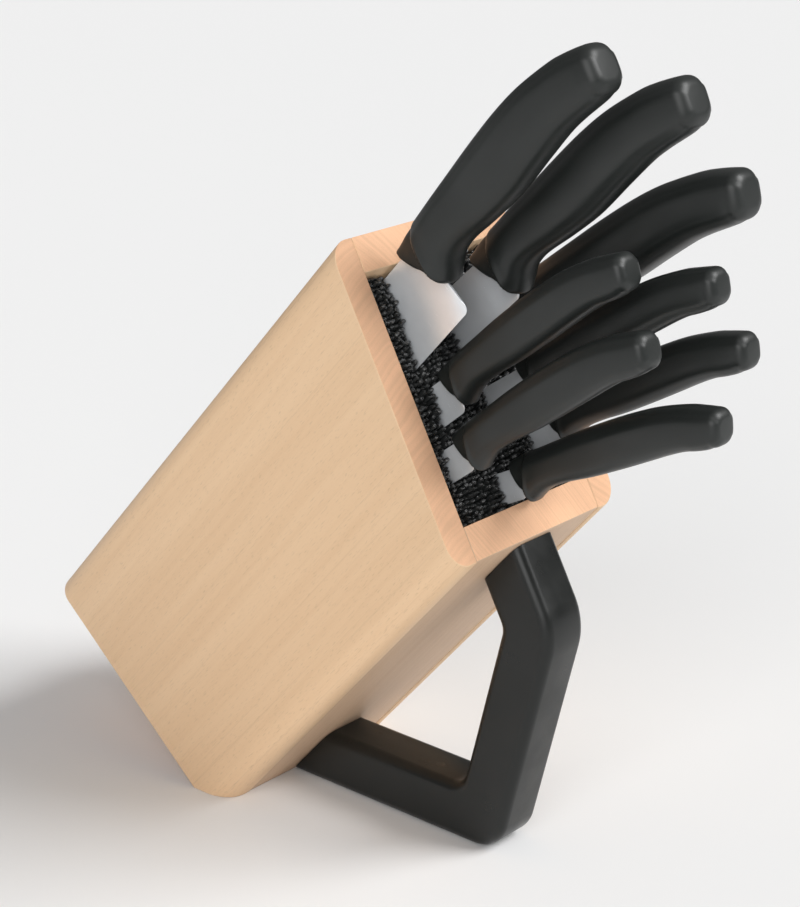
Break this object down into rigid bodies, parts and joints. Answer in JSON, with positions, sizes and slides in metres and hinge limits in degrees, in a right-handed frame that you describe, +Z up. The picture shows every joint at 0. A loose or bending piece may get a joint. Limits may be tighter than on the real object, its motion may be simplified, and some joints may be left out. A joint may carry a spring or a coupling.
{
  "type": "knife block with knives",
  "caption": "Leaning beech knife block packed with black filaments on a bent stand, holding large and small knives with moulded handles.",
  "frame": {"origin": "middle of the stand's flat bottom, on the floor, on the object's middle plane", "axes": "+Z up, +X the way the knives and the stand lean out, Y across the block; the near side panel is at -Y"},
  "size_m": [0.3089, 0.11, 0.3489],
  "materials": {
    "beech": "oiled satin beech",
    "filaments": "black extruded filaments",
    "stand_plastic": "satin black moulded plastic",
    "screw_steel": "zinc-plated steel",
    "handle_plastic": "fine-textured black moulded plastic",
    "blade_steel": "satin ground stainless steel"
  },
  "bodies": {
    "block": {"side_panel_near": "beech", "side_panel_far": "beech", "top_panel": "beech", "underside_panel": "beech", "end_panel": "beech", "bristle_bundle": "filaments", "stand": "stand_plastic", "stand_screws": "screw_steel"},
    "chef_knife": {"chef_knife_handle": "handle_plastic", "chef_knife_blade": "blade_steel"},
    "carving_knife": {"carving_knife_handle": "handle_plastic", "carving_knife_blade": "blade_steel"},
    "utility_knife": {"utility_knife_handle": "handle_plastic", "utility_knife_blade": "blade_steel"},
    "steak_knife_1": {"steak_knife_1_handle": "handle_plastic", "steak_knife_1_blade": "blade_steel"},
    "steak_knife_2": {"steak_knife_2_handle": "handle_plastic", "steak_knife_2_blade": "blade_steel"},
    "steak_knife_3": {"steak_knife_3_handle": "handle_plastic", "steak_knife_3_blade": "blade_steel"},
    "tomato_knife": {"tomato_knife_handle": "handle_plastic", "tomato_knife_blade": "blade_steel"},
    "paring_knife": {"paring_knife_handle": "handle_plastic", "paring_knife_blade": "blade_steel"}
  },
  "joints": [
    {"name": "chef_knife_slide", "type": "slide", "parent": "block", "child": "chef_knife", "axis": [0.6468, 0, 0.7627], "range_m": [0, 0.21]},
    {"name": "carving_knife_slide", "type": "slide", "parent": "block", "child": "carving_knife", "axis": [0.7071, 0, 0.7071], "range_m": [0, 0.2]},
    {"name": "utility_knife_slide", "type": "slide", "parent": "block", "child": "utility_knife", "axis": [0.8131, 0, 0.5821], "range_m": [0, 0.15]},
    {"name": "steak_knife_1_slide", "type": "slide", "parent": "block", "child": "steak_knife_1", "axis": [0.7536, 0, 0.6574], "range_m": [0, 0.12]},
    {"name": "steak_knife_2_slide", "type": "slide", "parent": "block", "child": "steak_knife_2", "axis": [0.8141, 0, 0.5807], "range_m": [0, 0.12]},
    {"name": "steak_knife_3_slide", "type": "slide", "parent": "block", "child": "steak_knife_3", "axis": [0.7815, 0, 0.6239], "range_m": [0, 0.12]},
    {"name": "tomato_knife_slide", "type": "slide", "parent": "block", "child": "tomato_knife", "axis": [0.8453, 0, 0.5344], "range_m": [0, 0.12]},
    {"name": "paring_knife_slide", "type": "slide", "parent": "block", "child": "paring_knife", "axis": [0.8796, 0, 0.4756], "range_m": [0, 0.095]}
  ]
}
